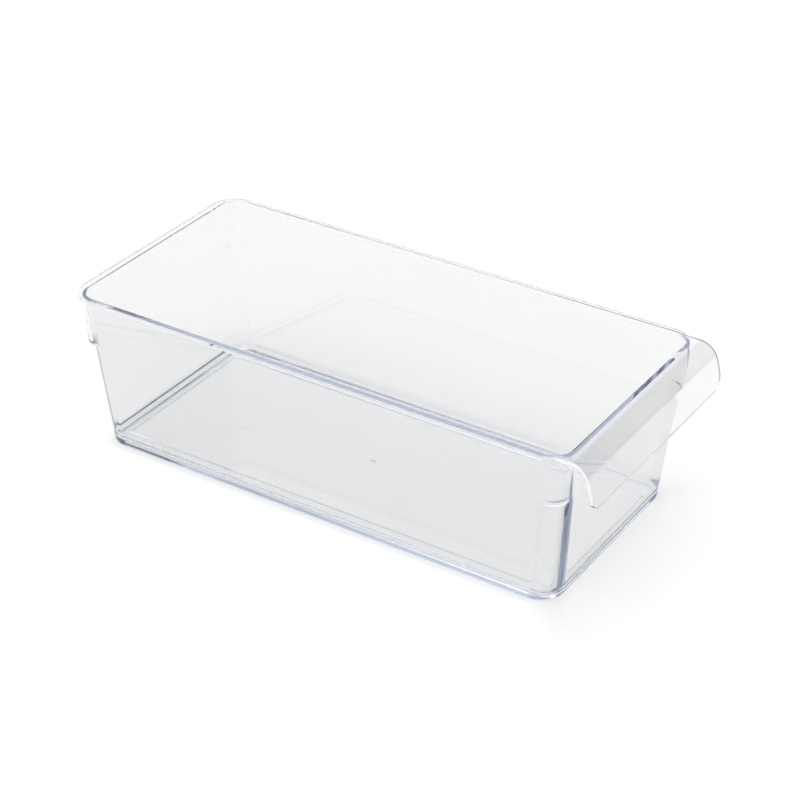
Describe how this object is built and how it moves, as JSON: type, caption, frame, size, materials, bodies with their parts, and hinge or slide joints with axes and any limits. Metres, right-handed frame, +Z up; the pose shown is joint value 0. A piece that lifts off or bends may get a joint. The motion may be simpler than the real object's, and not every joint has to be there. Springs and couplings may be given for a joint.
{
  "type": "storage bin",
  "caption": "Clear open-topped storage bin for a fridge drawer, with leaning walls, stepped corners, a rolled rim and a full-width down-turned pull handle at one end.",
  "frame": {"origin": "centre of the bounding box in X and Y, at the level of the underside of the floor", "axes": "+X across the width, +Y along the length away from the pull handle, +Z up"},
  "size_m": [0.1486, 0.329, 0.0965],
  "materials": {
    "clear_plastic": "clear and polished"
  },
  "bodies": {
    "root": {"floor_pan": "clear_plastic", "left_wall": "clear_plastic", "right_wall": "clear_plastic", "back_wall": "clear_plastic", "front_wall": "clear_plastic", "corner_front_left": "clear_plastic", "corner_front_right": "clear_plastic", "corner_back_left": "clear_plastic", "corner_back_right": "clear_plastic", "left_rim_rail": "clear_plastic", "right_rim_rail": "clear_plastic", "back_rim_rail": "clear_plastic", "pull_handle": "clear_plastic"}
  },
  "joints": []
}
